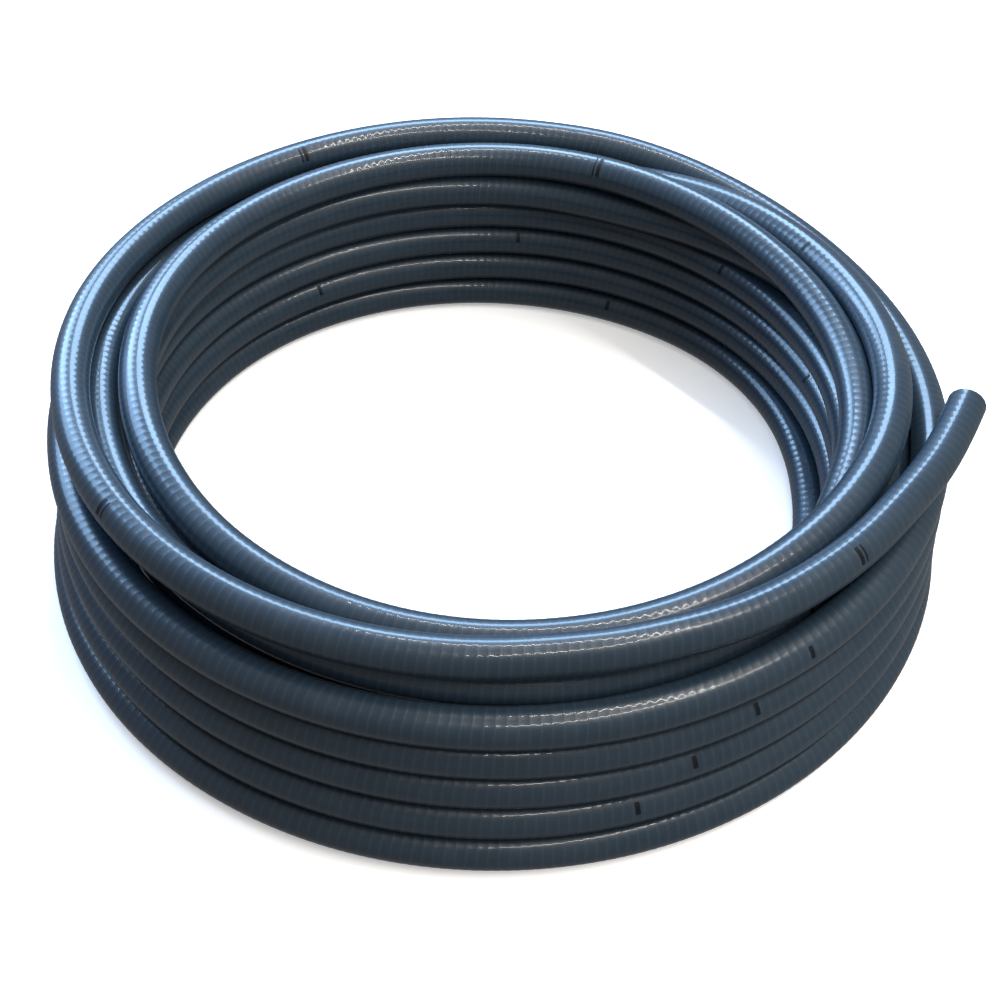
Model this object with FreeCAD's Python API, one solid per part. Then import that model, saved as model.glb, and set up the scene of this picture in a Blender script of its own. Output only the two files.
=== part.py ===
"""A coil of smooth drain hose for a caravan or motorhome, lying flat on the floor.

The hose is a flexible PVC tube in three bonded layers: a soft cover, a rigid helix that keeps the
tube round, and a smooth liner. It is wound in two columns of turns, one inside the other, with
looser turns on top. One cut end crosses over the coil and sticks out, and the other is tucked
under the top turns.

Units are millimetres. +Z is up, the floor is z = 0, and the origin is under the coil's axis.
"""
import FreeCAD
import Part

import math
import os

Vector = FreeCAD.Vector
UP = Vector(0, 0, 1)
FULL_TURN = 360

# The hose's own section.
HOSE_OD = 34.0
HOSE_BORE = 25.4
COVER_WALL = 1.5
LINER_WALL = 1.0
HELIX_WIRE = 1.8  # fills the gap between the cover and the liner
HELIX_PITCH = 8.3
HELIX_TURNS = 3  # the helix is made only in the straight stretch behind each cut end
HELIX_SETBACK = 1.5  # from the cut face to the helix's first turn

# The coil. A turn is the radius of its centreline and its height over the floor.
ROWS = 5
ROW_RISE = 33.3
OUTER_COLUMN_RADIUS = 384.0
FOOT_FLARE = 20.0  # the lowest outer turn has spread by this much
INNER_COLUMN_RADIUS = 329.0
INNER_COLUMN_SHIFT = Vector(-4, 4, 0)  # the inner column lies off the outer one's axis
TOP_OUTER_TURN = (374.0, 184.0)
TOP_MIDDLE_TURN = (345.0, 199.0)
TOP_INNER_TURN = (322.0, 185.0)
GROOVE_DEPTH = 8.0  # how far the coil's envelope dips between two turns
COLUMN_LAP = 27.0  # how far the two columns' solids run into each other

# The stretch of hose from the top turn to the free cut end, as the corners of its route.
TAIL_ROUTE = [
    Vector(108, -351, 197.5),
    Vector(197, -318, 193.5),
    Vector(280, -256, 190.5),
    Vector(340, -186, 189.5),
    Vector(384, -125, 189),
    Vector(412, -68, 190.5),
]
ARC_SHARE = 0.45  # how much of the shorter run beside a corner its arc may take up

# The other cut end, under the top turns.
TUCKED_ROUTE = [Vector(311, -121, 162), Vector(285, -174, 158)]


def outer_turn(row):
    """The outer column's turn in a row counted from the floor."""
    spread = FOOT_FLARE * (1 - row / (ROWS - 1)) ** 2
    return OUTER_COLUMN_RADIUS + spread, HOSE_OD / 2 + row * ROW_RISE


def inner_turn(row):
    """The inner column's turn in a row counted from the floor."""
    return INNER_COLUMN_RADIUS, HOSE_OD / 2 + row * ROW_RISE


def right_of(start, end, distance):
    """A step of that distance to the right of the way from start to end."""
    along_r = end[0] - start[0]
    along_z = end[1] - start[1]
    share = distance / math.hypot(along_r, along_z)
    return along_z * share, -along_r * share


def groove(turn, other):
    """The envelope's dip between two neighbouring turns."""
    step = right_of(turn, other, HOSE_OD / 2 - GROOVE_DEPTH)
    return (turn[0] + other[0]) / 2 + step[0], (turn[1] + other[1]) / 2 + step[1]


def scallops(turns, first_point, last_point):
    """Arcs over a row of turns, which has the outside on its right."""
    ends = [first_point] + [groove(a, b) for a, b in zip(turns, turns[1:])] + [last_point]
    arcs = []
    for turn, before, after in zip(turns, ends, ends[1:]):
        step = right_of(before, after, HOSE_OD / 2)
        crown = (turn[0] + step[0], turn[1] + step[1])
        arcs.append(Part.Arc(section(before), section(crown), section(after)).toShape())
    return arcs


def section(point):
    """A point of the coil's cross-section, as (radius, height), in space."""
    return Vector(point[0], 0, point[1])


def ring(arcs, corners):
    """The solid that a section sweeps round the axis: arcs, then straight sides along corners."""
    points = [arcs[-1].lastVertex().Point] + [section(c) for c in corners]
    points.append(arcs[0].firstVertex().Point)
    sides = [Part.LineSegment(a, b).toShape() for a, b in zip(points, points[1:])]
    edges = Part.sortEdges(arcs + sides)[0]
    face = Part.Face(Part.Wire(edges))
    return face.revolve(Vector(0, 0, 0), UP, FULL_TURN)


def coil_envelope():
    """The outer shape of all the turns that lie in the coil."""
    valley = groove(TOP_MIDDLE_TURN, TOP_INNER_TURN)
    outer_turns = [outer_turn(row) for row in range(ROWS)] + [TOP_OUTER_TURN, TOP_MIDDLE_TURN]
    outer_foot = (outer_turns[0][0], 0)
    outer_arcs = scallops(outer_turns, outer_foot, valley)
    outer_ring = ring(outer_arcs, [(valley[0], 0)])

    inner_turns = [TOP_INNER_TURN] + [inner_turn(row) for row in reversed(range(ROWS))]
    inner_foot = (inner_turns[-1][0], 0)
    inner_arcs = scallops(inner_turns, valley, inner_foot)
    lap_radius = valley[0] + COLUMN_LAP
    inner_ring = ring(inner_arcs, [(lap_radius, 0), (lap_radius, TOP_INNER_TURN[1])])
    inner_ring.translate(INNER_COLUMN_SHIFT)
    return outer_ring.fuse(inner_ring).removeSplitter()


def route_edges(corners):
    """Straight runs along the corners, joined by the largest arcs that fit."""
    edges = []
    run_start = corners[0]
    for before, corner, after in zip(corners, corners[1:], corners[2:]):
        back = (before - corner).normalize()
        ahead = (after - corner).normalize()
        half_turn = (math.pi - back.getAngle(ahead)) / 2
        shorter = min((corner - before).Length, (after - corner).Length)
        setback = ARC_SHARE * shorter
        radius = setback / math.tan(half_turn)
        print(f"arc radius {radius:.0f} mm, {radius / HOSE_OD:.1f} diameters")
        arc_start = corner + back * setback
        arc_end = corner + ahead * setback
        centre_line = (back + ahead).normalize()
        centre = corner + centre_line * (radius / math.cos(half_turn))
        middle = centre - centre_line * radius
        edges.append(Part.LineSegment(run_start, arc_start).toShape())
        edges.append(Part.Arc(arc_start, middle, arc_end).toShape())
        run_start = arc_end
    edges.append(Part.LineSegment(run_start, corners[-1]).toShape())
    return edges


def rod_along(edges, diameter):
    """A solid round rod whose centreline is the edges."""
    start = edges[0].firstVertex().Point
    heading = edges[0].tangentAt(edges[0].FirstParameter)
    circle = Part.Wire(Part.Circle(start, heading, diameter / 2).toShape())
    path = Part.Wire(edges)
    rod = path.makePipeShell([circle], True, False)
    expected = math.pi * diameter ** 2 / 4 * path.Length
    print(f"rod {diameter:.1f} mm: volume is {rod.Volume / expected:.4f} of section times length")
    return rod


def tube_along(edges, outside, inside):
    """A hollow tube between two diameters."""
    return rod_along(edges, outside).cut(rod_along(edges, inside))


def helix_behind(cut_face, heading):
    """The rigid helix's last turns, in the wall behind a cut face that looks along heading.

    Its round section is drawn as two halves, square to the line.
    """
    radius = HOSE_OD / 2 - COVER_WALL - HELIX_WIRE / 2
    line = Part.makeHelix(HELIX_PITCH, HELIX_PITCH * HELIX_TURNS, radius)
    slope = Vector(0, radius, HELIX_PITCH / math.radians(FULL_TURN))
    circle = Part.Circle(Vector(radius, 0, 0), slope, HELIX_WIRE / 2)
    halves = [Part.Arc(circle, half * math.pi, (half + 1) * math.pi).toShape() for half in (0, 1)]
    helix = Part.Wire(line).makePipeShell([Part.Wire(halves)], True, True)
    setback = HELIX_SETBACK + HELIX_WIRE / 2
    base = cut_face - heading * (setback + HELIX_PITCH * HELIX_TURNS)
    helix.Placement = FreeCAD.Placement(base, FreeCAD.Rotation(UP, heading))
    return helix


def hose_end(name, corners):
    """The three layers of a stretch of hose that ends in a cut face at its last corner."""
    edges = route_edges(corners)
    heading = (corners[-1] - corners[-2]).normalize()
    cover_bore = HOSE_OD - 2 * COVER_WALL
    liner_outside = HOSE_BORE + 2 * LINER_WALL
    return {
        name + "_cover": tube_along(edges, HOSE_OD, cover_bore),
        name + "_helix": helix_behind(corners[-1], heading),
        name + "_liner": tube_along(edges, liner_outside, HOSE_BORE),
    }


def make_parts():
    """Every node of the model, by name."""
    parts = {}
    parts.update(hose_end("free_end", TAIL_ROUTE))
    parts.update(hose_end("tucked_end", TUCKED_ROUTE))
    tail = rod_along(route_edges(TAIL_ROUTE), HOSE_OD)
    tucked = rod_along(route_edges(TUCKED_ROUTE), HOSE_OD)
    parts["hose_coil"] = coil_envelope().cut(tail).cut(tucked)
    return parts


def main():
    os.makedirs("parts", exist_ok=True)
    for node, shape in make_parts().items():
        box = shape.BoundBox
        print(f"{node}: {len(shape.Solids)} solid, valid {shape.isValid()}, {shape.Volume / 1000:.1f} cm3")
        print(f"    z {box.ZMin:.1f} to {box.ZMax:.1f}")
        shape.exportStep(f"parts/{node}.step")


main()
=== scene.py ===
"""The looks of a coil of smooth drain hose for a caravan or motorhome, lying flat on a pale floor.

The whole hose is one tube with a faint helical rib, open at both cut ends. Its route starts at the
tucked end on top of the coil, winds the inner column down to the floor and the outer column up
again, and leaves over the top turns to the free end. Settling then presses apart the turns that
would run into each other.

A place on the route is (angle, radius, height): the angle in degrees grows along the hose, with
0 at +X and 270 at the front, and the radius and height are in hose diameters.
"""
import math

import bpy
import numpy as np
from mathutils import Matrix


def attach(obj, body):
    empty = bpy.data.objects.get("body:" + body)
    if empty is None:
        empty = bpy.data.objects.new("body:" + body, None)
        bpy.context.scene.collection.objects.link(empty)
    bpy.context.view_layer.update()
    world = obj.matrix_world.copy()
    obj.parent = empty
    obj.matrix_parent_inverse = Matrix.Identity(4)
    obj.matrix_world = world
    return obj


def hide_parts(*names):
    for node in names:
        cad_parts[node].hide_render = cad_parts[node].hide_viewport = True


# The hose, in metres.
DIAMETER = 0.034
COVER_BORE = 0.031
LINER_OUTSIDE = 0.0274
BORE = 0.0254
WIRE = 0.0018  # the rigid helix in the wall
RIB_PITCH = 0.0083
RIB_DEPTH = 0.00014
RINGS_PER_RIB = 4
BORE_STRIDE = 12  # the bore has one ring for so many of the outside
SEGMENTS = 20
COVER, HELIX, LINER, INK = range(4)  # the materials' slots on the hose

# The route's angles and radii are about this point, in metres, which centres the whole coil.
HUB = (-0.006, -0.006, 0)

STEP = 10  # degrees between the route's points
TURN_POINTS = 360 // STEP

# The coil's two columns, in diameters.
TOP_ROW = 4
FLOOR_HEIGHT = 0.5
INNER_RISE = 0.995
INNER_SWAY = 0.2  # how far the inner rows lie in and out by turns, at the front
INNER_SAG = 0.085  # how much less the inner rows rise there
OUTER_RISE = 0.985
OUTER_RADIUS = 11.33
OUTER_OFFSET = 0.42  # the outer column lies this far towards +X
FOOT_FLARE = 0.45  # the lowest outer turn has spread by this much
SIDE_FLARE = 0.2  # more at its left, less at its right
BACK_ROOM = 0.55  # the outer column leaves this much at the back for the turns that dive there

# How freely the hose gives way when it settles.
IN_VIEW = 0.12
HIDDEN = 1
SETTLE_ROUNDS = 500
STIFF_ROUNDS = 440  # the rounds in which the hose smooths its own shifts
SPRING_BACK = 0.98

# From the tucked end over the top turns to the inner column.
FIRST_TURNS = [
    (-30, 9.88, 4.62), (-20, 9.92, 4.75), (-5, 9.86, 5.05), (5, 9.83, 5.20), (12, 9.72, 5.30),
    (20, 9.58, 5.40), (28, 9.42, 5.46), (40, 9.46, 5.47), (68, 9.80, 5.47), (90, 9.92, 5.45),
    (140, 9.55, 5.55), (189, 8.93, 5.85), (226, 9.08, 5.50), (248, 9.24, 5.25), (270, 9.50, 5.17),
    (299, 9.78, 5.22), (315, 9.97, 5.35), (330, 10.25, 5.58), (342, 10.56, 5.72), (350, 10.65, 5.70),
    (361, 10.58, 5.62), (372, 10.52, 5.54), (381, 10.54, 5.44), (395, 10.48, 5.48), (408, 10.42, 5.44),
    (418, 10.45, 5.20), (430, 10.60, 4.85), (442, 10.85, 4.55), (456, 10.93, 4.50), (480, 10.75, 4.62),
    (520, 10.15, 5.10), (549, 9.80, 5.38), (590, 10.10, 5.10), (630, 10.38, 4.80), (665, 10.62, 4.55),
    (690, 10.76, 4.18), (706, 10.83, 3.95), (725, 10.83, 3.90), (742, 10.58, 4.08), (757, 10.25, 4.30),
    (780, 9.98, 4.46),
]
# From the outer column over the top turns to the tail.
LAST_TURNS = [
    (4150, 10.88, 4.44), (4190, 11.05, 4.44), (4230, 11.30, 4.44), (4270, 11.55, 4.46),
    (4300, 11.70, 4.55), (4316, 11.69, 4.60), (4325, 11.61, 4.60), (4337, 11.33, 4.62),
    (4348, 11.25, 4.66), (4364, 11.30, 4.80), (4376, 11.26, 4.92), (4387, 11.12, 5.15),
    (4400, 11.03, 5.42), (4412, 10.96, 5.56), (4438, 10.98, 5.60), (4471, 10.78, 5.65),
    (4489, 10.66, 5.75), (4509, 10.56, 5.86), (4550, 10.50, 5.87), (4590, 10.45, 5.78),
    (4600, 10.48, 5.78),
]
# The free end's stretch, in metres, as its CAD tube runs.
TAIL = [
    (0.108, -0.351, 0.1975),
    (0.197, -0.318, 0.1935),
    (0.280, -0.256, 0.1905),
    (0.340, -0.186, 0.1895),
    (0.384, -0.125, 0.1890),
    (0.412, -0.068, 0.1905),
]
# The inner column's radius round the coil, and along the floor as it moves outward.
INNER_RADIUS = [
    (0, 9.90), (36, 9.98), (90, 9.97), (117, 10.03), (145, 10.03), (163, 9.88), (190, 9.65),
    (230, 9.45), (270, 9.50), (310, 9.70), (340, 9.82), (360, 9.90),
]
FLOOR_RADIUS = [
    (2100, 9.65), (2125, 9.30), (2152, 9.03), (2168, 9.37), (2177, 9.59), (2196, 9.92), (2227, 9.85),
    (2253, 9.97), (2277, 10.13), (2305, 10.13), (2323, 9.91), (2350, 9.70), (2390, 9.60),
    (2430, 9.70), (2470, 10.00), (2508, 10.35), (2540, 10.90), (2575, 11.40), (2610, 11.70),
]
INNER_START, FLOOR_START, SWAY_END, OUTER_START, OUTER_END = 780, 2100, 2400, 2610, 4150

# The printed marks: how far along the route, which way round the hose, and how wide.
OUTWARD, INWARD_UP, INWARD = 40, 125, 150  # degrees round the hose from the coil's outside
MARKS = [
    (68, INWARD_UP, 4), (387, INWARD_UP, 2), (673, OUTWARD, 2), (1122, INWARD, 2), (1455, INWARD, 2),
    (1523, INWARD, 2), (1922, INWARD, 2), (2225, INWARD, 2), (3166.6, OUTWARD, 2), (3533, OUTWARD, 2),
    (3900.5, OUTWARD, 2), (4267.7, OUTWARD, 2), (4440, INWARD_UP, 3), (4534.6, OUTWARD, 3),
    (4638.4, OUTWARD, 3),
]


def ease(share):
    """0 to 1 with a soft start and a soft stop."""
    share = np.clip(share, 0, 1)
    return share * share * (3 - 2 * share)


def bump(azimuth, centre, width):
    """1 at the centre azimuth, falling to 0 a width away."""
    away = abs((azimuth - centre + 180) % 360 - 180)
    return ease(1 - away / width)


def between(stations, angle):
    """A station list's radius, and height if it has one, at an angle."""
    columns = list(zip(*stations))
    return [float(np.interp(angle, columns[0], column)) for column in columns[1:]]


def inner_column(angle):
    """Radius and height where the route winds down; the rows step down at the right front."""
    turn, part = divmod(angle - 2 * 360, 360)
    row = max(TOP_ROW - turn - ease((part - 270) / 90), 0)
    radius = between(INNER_RADIUS, angle % 360)[0]
    if angle >= FLOOR_START:
        radius = between(FLOOR_RADIUS, angle)[0]
    front = bump(angle % 360, 280, 100)
    if angle < SWAY_END:
        radius += INNER_SWAY * front * (1 if turn % 2 else -1)
    return radius, FLOOR_HEIGHT + (INNER_RISE - INNER_SAG * front) * row


def outer_column(angle):
    """Radius and height where the route winds up; the rows step up at the right."""
    turn, part = divmod(angle - OUTER_START, 360)
    row = turn + ease((part - 280) / 80)
    low = 1 - min(row, TOP_ROW) / TOP_ROW
    toward_x = math.cos(math.radians(angle))
    radius = OUTER_RADIUS + OUTER_OFFSET * toward_x + FOOT_FLARE * low ** 2
    radius += SIDE_FLARE * low * max(0, -toward_x) - SIDE_FLARE * low ** 2 * max(0, toward_x)
    radius += BACK_ROOM * bump(angle % 360, 85, 85)
    return radius, FLOOR_HEIGHT + OUTER_RISE * row


def place(angle):
    """Radius, height and how freely the hose gives way there."""
    azimuth = angle % 360
    if angle < INNER_START:
        hidden = 435 < angle < 525 or angle > 660
        return between(FIRST_TURNS, angle) + [HIDDEN if hidden else IN_VIEW]
    if angle < OUTER_START:
        hidden = 190 < azimuth < 350 or angle > 2430
        return [*inner_column(angle), HIDDEN if hidden else IN_VIEW]
    if angle < OUTER_END:
        return [*outer_column(angle), HIDDEN if 20 < azimuth < 165 else IN_VIEW]
    return between(LAST_TURNS, angle) + [IN_VIEW]


def smooth(values, rounds):
    """The values with each one drawn towards its neighbours, so many times."""
    values = values.copy()
    for _ in range(rounds):
        values[1:-1] = 0.25 * values[:-2] + 0.5 * values[1:-1] + 0.25 * values[2:]
    return values


def settled(radius, height, give):
    """Presses apart the turns that are too near, and keeps the hose on the floor."""
    shift_r = np.zeros_like(radius)
    shift_z = np.zeros_like(height)
    for count in range(SETTLE_ROUNDS):
        for turns in range(1, len(radius) // TURN_POINTS + 1):
            step = turns * TURN_POINTS
            r = radius + shift_r
            z = height + shift_z
            gap_r = r[step:] - r[:-step]
            gap_z = z[step:] - z[:-step]
            gap = np.hypot(gap_r, gap_z)
            lap = np.clip(1 - gap, 0, None) / np.maximum(gap, 1e-6)
            share = give[step:] / (give[step:] + give[:-step])
            shift_r[step:] += gap_r * lap * share
            shift_z[step:] += gap_z * lap * share
            shift_r[:-step] -= gap_r * lap * (1 - share)
            shift_z[:-step] -= gap_z * lap * (1 - share)
        shift_z = np.maximum(shift_z, FLOOR_HEIGHT - height)
        if count < STIFF_ROUNDS:
            shift_r = SPRING_BACK * smooth(shift_r, 1)
            shift_z = SPRING_BACK * smooth(shift_z, 1)
    return radius + shift_r, height + shift_z


def route():
    """The control points of the hose's whole line, in metres."""
    angles = np.arange(FIRST_TURNS[0][0], LAST_TURNS[-1][0] + 1, STEP, dtype=float)
    radius, height, give = np.array([place(angle) for angle in angles]).T
    radius, height = settled(smooth(radius, 3), smooth(height, 3), smooth(give, 2))
    reach = radius * DIAMETER / math.cos(math.radians(STEP / 2))  # the spline cuts inside its points
    around = np.radians(angles)
    coil = np.stack([reach * np.cos(around), reach * np.sin(around), height * DIAMETER], axis=1)
    return np.concatenate([coil + HUB, TAIL])


def spline_line(points):
    """Points along the NURBS line that has these control points."""
    curve = bpy.data.curves.new("hose_route", "CURVE")
    curve.dimensions = "3D"
    curve.resolution_u = 24
    spline = curve.splines.new("NURBS")
    spline.points.add(len(points) - 1)
    for spot, point in zip(spline.points, points):
        spot.co = (*point, 1)
    spline.order_u = 3
    spline.use_endpoint_u = True
    carrier = bpy.data.objects.new("hose_route", curve)
    mesh = bpy.data.meshes.new_from_object(carrier)
    line = np.array([vertex.co for vertex in mesh.vertices])
    bpy.data.objects.remove(carrier)
    bpy.data.meshes.remove(mesh)
    bpy.data.curves.remove(curve)
    return line


def evenly(line, spacing):
    """Points at even distances along a line, from its start to its end."""
    along = np.concatenate([[0], np.cumsum(np.linalg.norm(np.diff(line, axis=0), axis=1))])
    count = round(along[-1] / spacing)
    at = np.linspace(0, along[-1], count + 1)
    return np.stack([np.interp(at, along, line[:, axis]) for axis in range(3)], axis=1)


def ring_points(centres, radius):
    """Rings square to the line. A radius is one for all, or one for each ring and segment."""
    ahead = np.gradient(centres, axis=0)
    ahead /= np.linalg.norm(ahead, axis=1)[:, None]
    side = np.cross(ahead, (0, 0, 1))
    side /= np.linalg.norm(side, axis=1)[:, None]
    top = np.cross(side, ahead)
    around = np.radians(360) * np.arange(SEGMENTS) / SEGMENTS
    spokes = side[:, None] * np.cos(around)[None, :, None] + top[:, None] * np.sin(around)[None, :, None]
    radius = np.broadcast_to(radius, (len(centres), SEGMENTS))
    return centres[:, None] + spokes * radius[:, :, None]


def quads_between(first, second):
    """Quads from one ring's vertex numbers to the next ring's."""
    return np.stack([first, np.roll(first, -1, axis=-1), np.roll(second, -1, axis=-1), second], axis=-1)


def cut_slots(ribs):
    """The helix's slot where a cut crosses its wire, and the cover's on the rest of the ring."""
    middles = (ribs[:-1] + ribs[1:]) / 2
    return np.where(abs(middles - np.round(middles)) < WIRE / RIB_PITCH / 2, HELIX, COVER)


def hose_mesh(centres):
    """The closed tube: ribbed outside, a cut face of three layers at each end, and the bore."""
    ribs_along = np.arange(len(centres))[:, None] / RINGS_PER_RIB
    ribs = ribs_along - np.arange(SEGMENTS + 1)[None] / SEGMENTS  # the last column meets the first
    crest = 0.5 + 0.5 * np.cos(np.radians(360) * ribs[:, :-1])
    outside = ring_points(centres, DIAMETER / 2 - RIB_DEPTH * (1 - crest))
    inner_rings = np.unique(np.append(np.arange(0, len(centres), BORE_STRIDE), len(centres) - 1))
    bore = ring_points(centres, BORE / 2)[inner_rings]
    layers = [ring_points(centres, width / 2)[[0, -1]] for width in (COVER_BORE, LINER_OUTSIDE)]

    points = np.concatenate([block.reshape(-1, 3) for block in (outside, bore, *layers)])
    numbers = np.arange(len(points)).reshape(-1, SEGMENTS)
    out = numbers[:len(outside)]
    into = numbers[len(outside):len(outside) + len(bore)]
    steps = numbers[len(outside) + len(bore):]
    cover_start, cover_end, liner_start, liner_end = steps
    blocks = [
        (quads_between(out[1:], out[:-1]), COVER),
        (quads_between(into[:-1], into[1:]), LINER),
        (quads_between(out[:1], cover_start[None]), COVER),
        (quads_between(cover_end[None], out[-1:]), COVER),
        (quads_between(cover_start[None], liner_start[None]), cut_slots(ribs[0])),
        (quads_between(liner_end[None], cover_end[None]), cut_slots(ribs[-1])),
        (quads_between(liner_start[None], into[:1]), LINER),
        (quads_between(into[-1:], liner_end[None]), LINER),
    ]
    faces = np.concatenate([quads.reshape(-1, 4) for quads, _ in blocks])
    slots = np.concatenate([np.full(quads.size // 4, slot) for quads, slot in blocks])

    mesh = bpy.data.meshes.new("hose")
    mesh.from_pydata(points, [], faces)
    mesh.polygons.foreach_set("material_index", slots)
    mesh.polygons.foreach_set("use_smooth", np.ones(len(faces), dtype=bool))
    mesh.set_sharp_from_angle(angle=math.radians(50))
    on_outside = np.stack([ribs[1:, :-1], ribs[1:, 1:], ribs[:-1, 1:], ribs[:-1, :-1]], axis=-1)
    count = np.full(len(faces) * 4, 0.5, dtype=np.float32)
    count[:on_outside.size] = on_outside.reshape(-1)
    mesh.attributes.new("rib_count", "FLOAT", "CORNER").data.foreach_set("value", count)
    print_marks(mesh, centres)
    mesh.update()
    return mesh


def print_marks(mesh, centres):
    """Plain ink ticks on the outside's faces: one short bar, and a thin second one if it is wide."""
    azimuth = np.degrees(np.unwrap(np.arctan2(centres[:, 1] - HUB[1], centres[:, 0] - HUB[0])))
    for angle, toward, width in MARKS:
        ring = int(np.searchsorted(azimuth, angle))
        middle = round(toward / 360 * SEGMENTS)
        for bar in (0, 1, 3) if width > 2 else (0, 1):
            for segment in range(middle - width // 2, middle - width // 2 + width):
                mesh.polygons[(ring + bar) * SEGMENTS + segment % SEGMENTS].material_index = INK


def material(name):
    """A new node material, with what is needed to build on it."""
    made = bpy.data.materials.new(name)
    made.use_nodes = True
    nodes = made.node_tree.nodes
    links = made.node_tree.links
    return made, nodes, links, nodes["Principled BSDF"]


def noise(nodes, links, where, scale, detail=4.0):
    node = nodes.new("ShaderNodeTexNoise")
    node.inputs["Scale"].default_value = scale
    node.inputs["Detail"].default_value = detail
    links.new(where, node.inputs["Vector"])
    return node.outputs["Fac"]


def spread(nodes, links, value, low, high, out_low, out_high):
    """A value's range mapped to another."""
    node = nodes.new("ShaderNodeMapRange")
    ends = {"From Min": low, "From Max": high, "To Min": out_low, "To Max": out_high}
    for name, number in ends.items():
        node.inputs[name].default_value = number
    links.new(value, node.inputs["Value"])
    return node.outputs["Result"]


def mixed(nodes, links, factor, first, second):
    """Two colours mixed; each is a colour or another node's output."""
    node = nodes.new("ShaderNodeMix")
    node.data_type = "RGBA"
    links.new(factor, node.inputs["Factor"])
    for socket, colour in ((node.inputs[6], first), (node.inputs[7], second)):
        if isinstance(colour, tuple):
            socket.default_value = (*colour, 1)
        else:
            links.new(colour, socket)
    return node.outputs[2]


def over_wire(nodes, links):
    """1 over the helix's wire, falling to 0 beside it."""
    count = nodes.new("ShaderNodeAttribute")
    count.attribute_name = "rib_count"
    away = nodes.new("ShaderNodeMath")
    away.operation = "PINGPONG"
    away.inputs[1].default_value = 0.5
    links.new(count.outputs["Fac"], away.inputs[0])
    return spread(nodes, links, away.outputs[0], 0.07, 0.17, 1.0, 0.0)


def pvc(name, body, over_rib, scuff, rough):
    """Flexible PVC: paler over the helix, cloudy, scuffed in places, with a fine orange peel."""
    made, nodes, links, shader = material(name)
    where = nodes.new("ShaderNodeTexCoord").outputs["Object"]
    wire = over_wire(nodes, links)
    cloud = spread(nodes, links, noise(nodes, links, where, 9.0), 0.3, 0.7, 0.0, 1.0)
    worn = spread(nodes, links, noise(nodes, links, where, 45.0, 8.0), 0.52, 0.75, 0.0, 0.35)
    ribbed = mixed(nodes, links, wire, body, over_rib)
    clouded = mixed(nodes, links, spread(nodes, links, cloud, 0, 1, 0.0, 0.25), ribbed, scuff)
    links.new(mixed(nodes, links, worn, clouded, scuff), shader.inputs["Base Color"])
    links.new(spread(nodes, links, cloud, 0, 1, rough - 0.04, rough + 0.06), shader.inputs["Roughness"])
    shader.inputs["Specular IOR Level"].default_value = 0.4
    shader.inputs["Coat Weight"].default_value = 0.3
    shader.inputs["Coat Roughness"].default_value = 0.07
    raised = nodes.new("ShaderNodeBump")
    raised.inputs["Strength"].default_value = 0.16
    raised.inputs["Distance"].default_value = 0.0003
    links.new(wire, raised.inputs["Height"])
    peel = nodes.new("ShaderNodeBump")
    peel.inputs["Strength"].default_value = 0.06
    peel.inputs["Distance"].default_value = 0.0003
    links.new(noise(nodes, links, where, 900.0, 3.0), peel.inputs["Height"])
    links.new(raised.outputs["Normal"], peel.inputs["Normal"])
    links.new(peel.outputs["Normal"], shader.inputs["Normal"])
    return made


def ink():
    """Dark print, worn thin in spots."""
    made, nodes, links, shader = material("printed_mark")
    where = nodes.new("ShaderNodeTexCoord").outputs["Object"]
    fade = spread(nodes, links, noise(nodes, links, where, 700.0), 0.45, 0.75, 0.0, 0.6)
    tone = mixed(nodes, links, fade, (0.003, 0.004, 0.006), (0.010, 0.016, 0.024))
    links.new(tone, shader.inputs["Base Color"])
    shader.inputs["Roughness"].default_value = 0.5
    shader.inputs["Specular IOR Level"].default_value = 0.25
    return made


def floor():
    """A plain pale floor. It throws little light up onto the coil."""
    bpy.ops.mesh.primitive_plane_add(size=200, location=(0, 0, 0))
    plane = bpy.context.object
    plane.name = "floor"
    made, nodes, links, shader = material("floor_paint")
    where = nodes.new("ShaderNodeTexCoord").outputs["Object"]
    tone = spread(nodes, links, noise(nodes, links, where, 3.0), 0.3, 0.7, 0.0, 1.0)
    links.new(mixed(nodes, links, tone, (0.86, 0.86, 0.87), (0.9, 0.9, 0.9)), shader.inputs["Base Color"])
    shader.inputs["Roughness"].default_value = 0.7
    shader.inputs["Specular IOR Level"].default_value = 0.2
    shader.inputs["Emission Color"].default_value = (1, 1, 1, 1)
    shader.inputs["Emission Strength"].default_value = 0.35
    plane.visible_diffuse = False
    plane.visible_glossy = False
    plane.data.materials.append(made)
    return plane


def area_light(name, place, size, power, colour, mirrored=True):
    """A rectangular light that faces the coil. Unless it is mirrored, it only fills."""
    light = bpy.data.lights.new(name, "AREA")
    light.shape = "RECTANGLE"
    light.size, light.size_y = size
    light.energy = power
    light.color = colour
    lamp = bpy.data.objects.new(name, light)
    bpy.context.collection.objects.link(lamp)
    lamp.location = place
    lamp.visible_glossy = mirrored
    toward = np.array([0, 0, 0.1]) - np.array(place)
    flat = math.hypot(toward[0], toward[1])
    lamp.rotation_euler = (math.atan2(flat, -toward[2]), 0, math.atan2(-toward[0], toward[1]))


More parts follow.
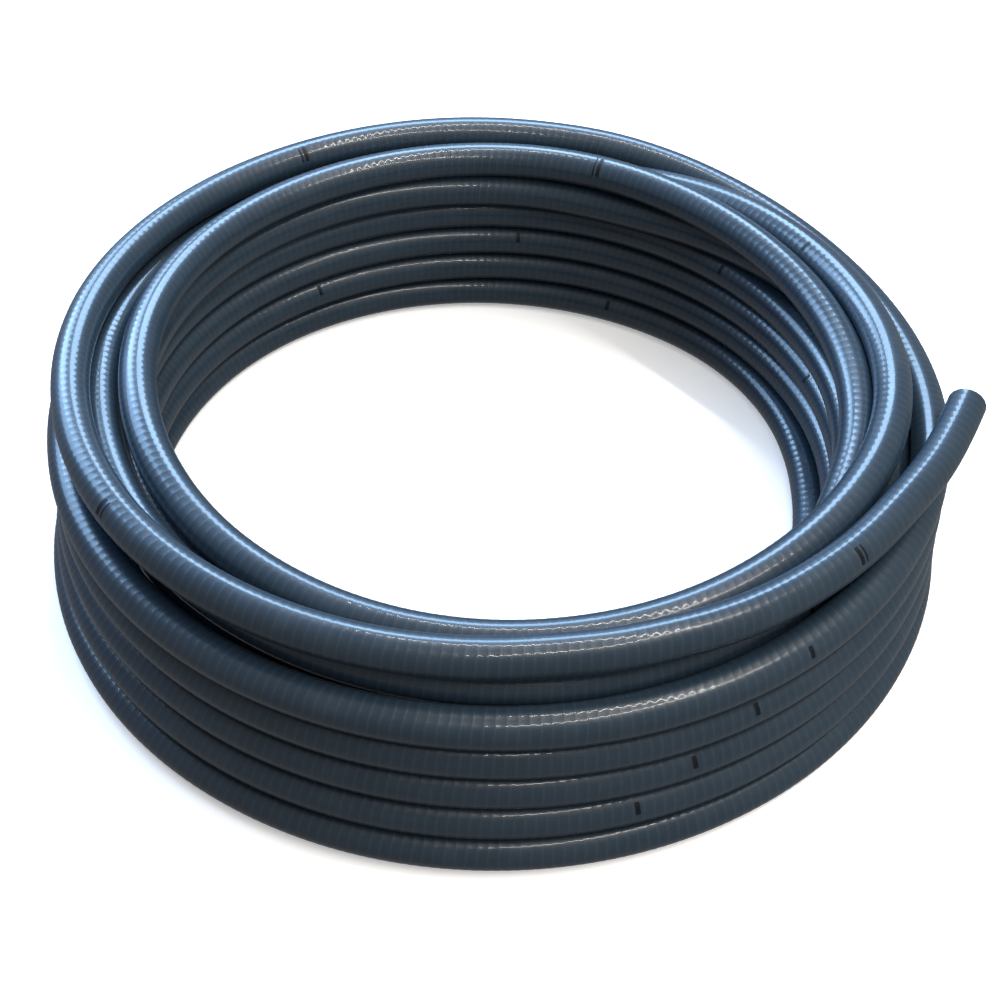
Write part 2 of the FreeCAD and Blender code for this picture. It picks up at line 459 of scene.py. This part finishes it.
def lights():
    blue = (0.42, 0.67, 1.0)
    warm = (1.0, 0.96, 0.90)
    area_light("window_left_pane", (-1.60, 2.46, 1.75), (1.5, 0.9), 66, blue)
    area_light("window_right_pane", (0.16, 2.50, 2.25), (1.4, 0.9), 102, blue)
    area_light("side_window", (-2.5, 2.1, 2.2), (2.2, 1.8), 140, (0.36, 0.62, 1.0))
    area_light("ceiling_tube_back", (0.55, 0.47, 3.0), (2.6, 0.06), 48, warm)
    area_light("ceiling_tube_front", (0.95, -1.03, 2.8), (2.6, 0.06), 42, warm)
    area_light("overhead", (2.0, -0.7, 3.2), (3.0, 3.0), 45, warm, mirrored=False)
    area_light("doorway", (3.0, -1.5, 1.3), (2.0, 1.8), 60, (1.0, 0.91, 0.80), mirrored=False)
    world = bpy.data.worlds.new("studio")
    bpy.context.scene.world = world
    world.use_nodes = True
    sky = world.node_tree.nodes["Background"]
    sky.inputs["Color"].default_value = (0.95, 0.97, 1.0, 1)
    sky.inputs["Strength"].default_value = 0.28
    bpy.context.scene.view_settings.view_transform = "Standard"


def camera():
    """Looks along +Y and down at the coil."""
    elevation = math.radians(44.43)
    distance = 1.597
    data = bpy.data.cameras.new("camera")
    data.lens = 58.9
    data.sensor_width = 36
    data.shift_x = 0.0150
    data.shift_y = 0.0110
    eye = bpy.data.objects.new("camera", data)
    bpy.context.collection.objects.link(eye)
    eye.location = (HUB[0], HUB[1] - distance * math.cos(elevation), distance * math.sin(elevation))
    eye.rotation_euler = (math.radians(90) - elevation, 0, 0)
    bpy.context.scene.camera = eye


def hose():
    """The hose's one piece, which stands for all the CAD nodes."""
    centres = evenly(spline_line(route()), RIB_PITCH / RINGS_PER_RIB)
    piece = bpy.data.objects.new("hose", hose_mesh(centres))
    bpy.context.collection.objects.link(piece)
    looks = [
        pvc("hose_cover", (0.015, 0.028, 0.044), (0.021, 0.037, 0.056), (0.030, 0.048, 0.068), 0.36),
        pvc("hose_helix", (0.19, 0.25, 0.31), (0.22, 0.28, 0.34), (0.25, 0.31, 0.37), 0.4),
        pvc("hose_liner", (0.017, 0.031, 0.047), (0.017, 0.031, 0.047), (0.030, 0.046, 0.065), 0.5),
        ink(),
    ]
    for look in looks:
        piece.data.materials.append(look)
    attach(piece, "root")
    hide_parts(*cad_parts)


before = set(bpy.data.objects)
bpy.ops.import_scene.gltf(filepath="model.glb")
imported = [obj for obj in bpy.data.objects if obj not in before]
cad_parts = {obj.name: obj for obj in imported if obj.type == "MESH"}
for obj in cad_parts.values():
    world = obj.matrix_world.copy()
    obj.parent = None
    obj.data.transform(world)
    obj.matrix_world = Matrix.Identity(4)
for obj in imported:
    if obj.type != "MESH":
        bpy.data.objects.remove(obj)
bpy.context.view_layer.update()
hose()
floor()
lights()
camera()
